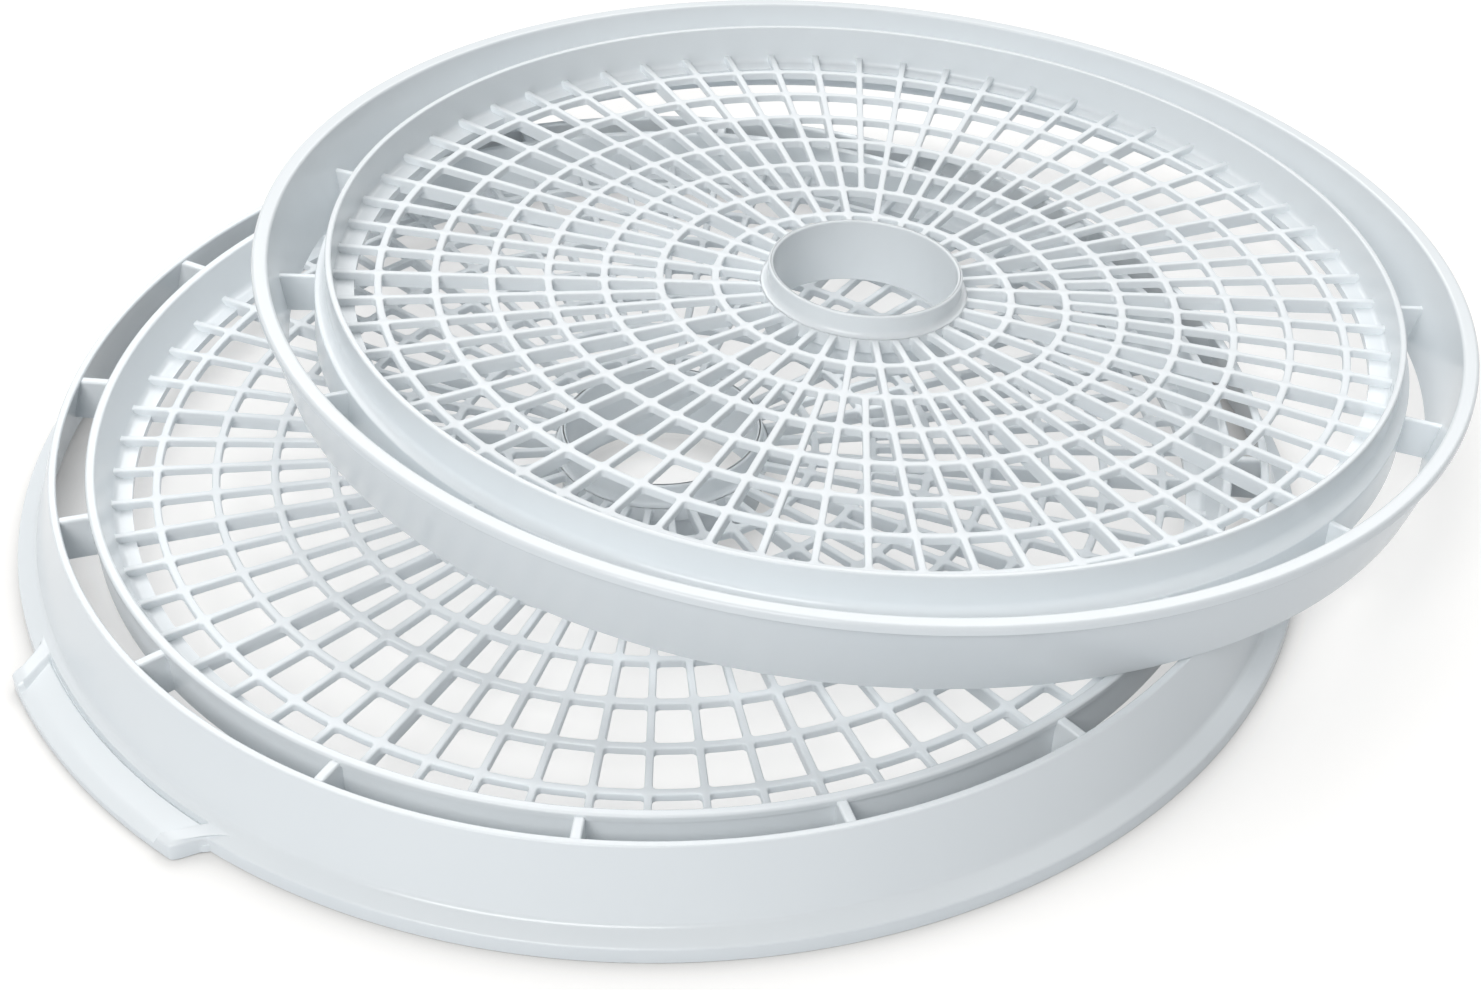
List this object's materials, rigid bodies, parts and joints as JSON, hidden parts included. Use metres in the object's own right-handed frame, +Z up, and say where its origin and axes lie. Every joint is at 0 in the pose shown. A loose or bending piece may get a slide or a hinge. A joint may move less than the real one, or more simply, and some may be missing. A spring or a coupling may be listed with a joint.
{
  "type": "food dehydrator tray set",
  "caption": "Round white stacking trays for a food dehydrator: open ring walls round a flat food mesh with a hub collar, one tray leaning on the other.",
  "frame": {"origin": "centre of the lower tray's foot, on the surface that it stands on", "axes": "+Z up along the lower tray's axis, +X to the right and +Y away from the viewer"},
  "size_m": [0.3851, 0.3773, 0.0592],
  "materials": {
    "white_plastic": "satin, injection moulded"
  },
  "bodies": {
    "lower_tray": {"lower_outer_wall": "white_plastic", "lower_inner_ring": "white_plastic", "lower_hub": "white_plastic", "lower_front_thumb_tab": "white_plastic", "lower_rear_thumb_tab": "white_plastic", "lower_webs": "white_plastic", "lower_mesh_rings": "white_plastic", "lower_mesh_ribs": "white_plastic", "lower_stiffeners": "white_plastic"},
    "upper_tray": {"upper_outer_wall": "white_plastic", "upper_inner_ring": "white_plastic", "upper_hub": "white_plastic", "upper_webs": "white_plastic", "upper_mesh_rings": "white_plastic", "upper_mesh_ribs": "white_plastic", "upper_stiffeners": "white_plastic"}
  },
  "joints": [
    {"name": "upper_tray_lift", "type": "slide", "parent": "lower_tray", "child": "upper_tray", "axis": [0, 0, 1], "range_m": [0, 0.12]}
  ]
}
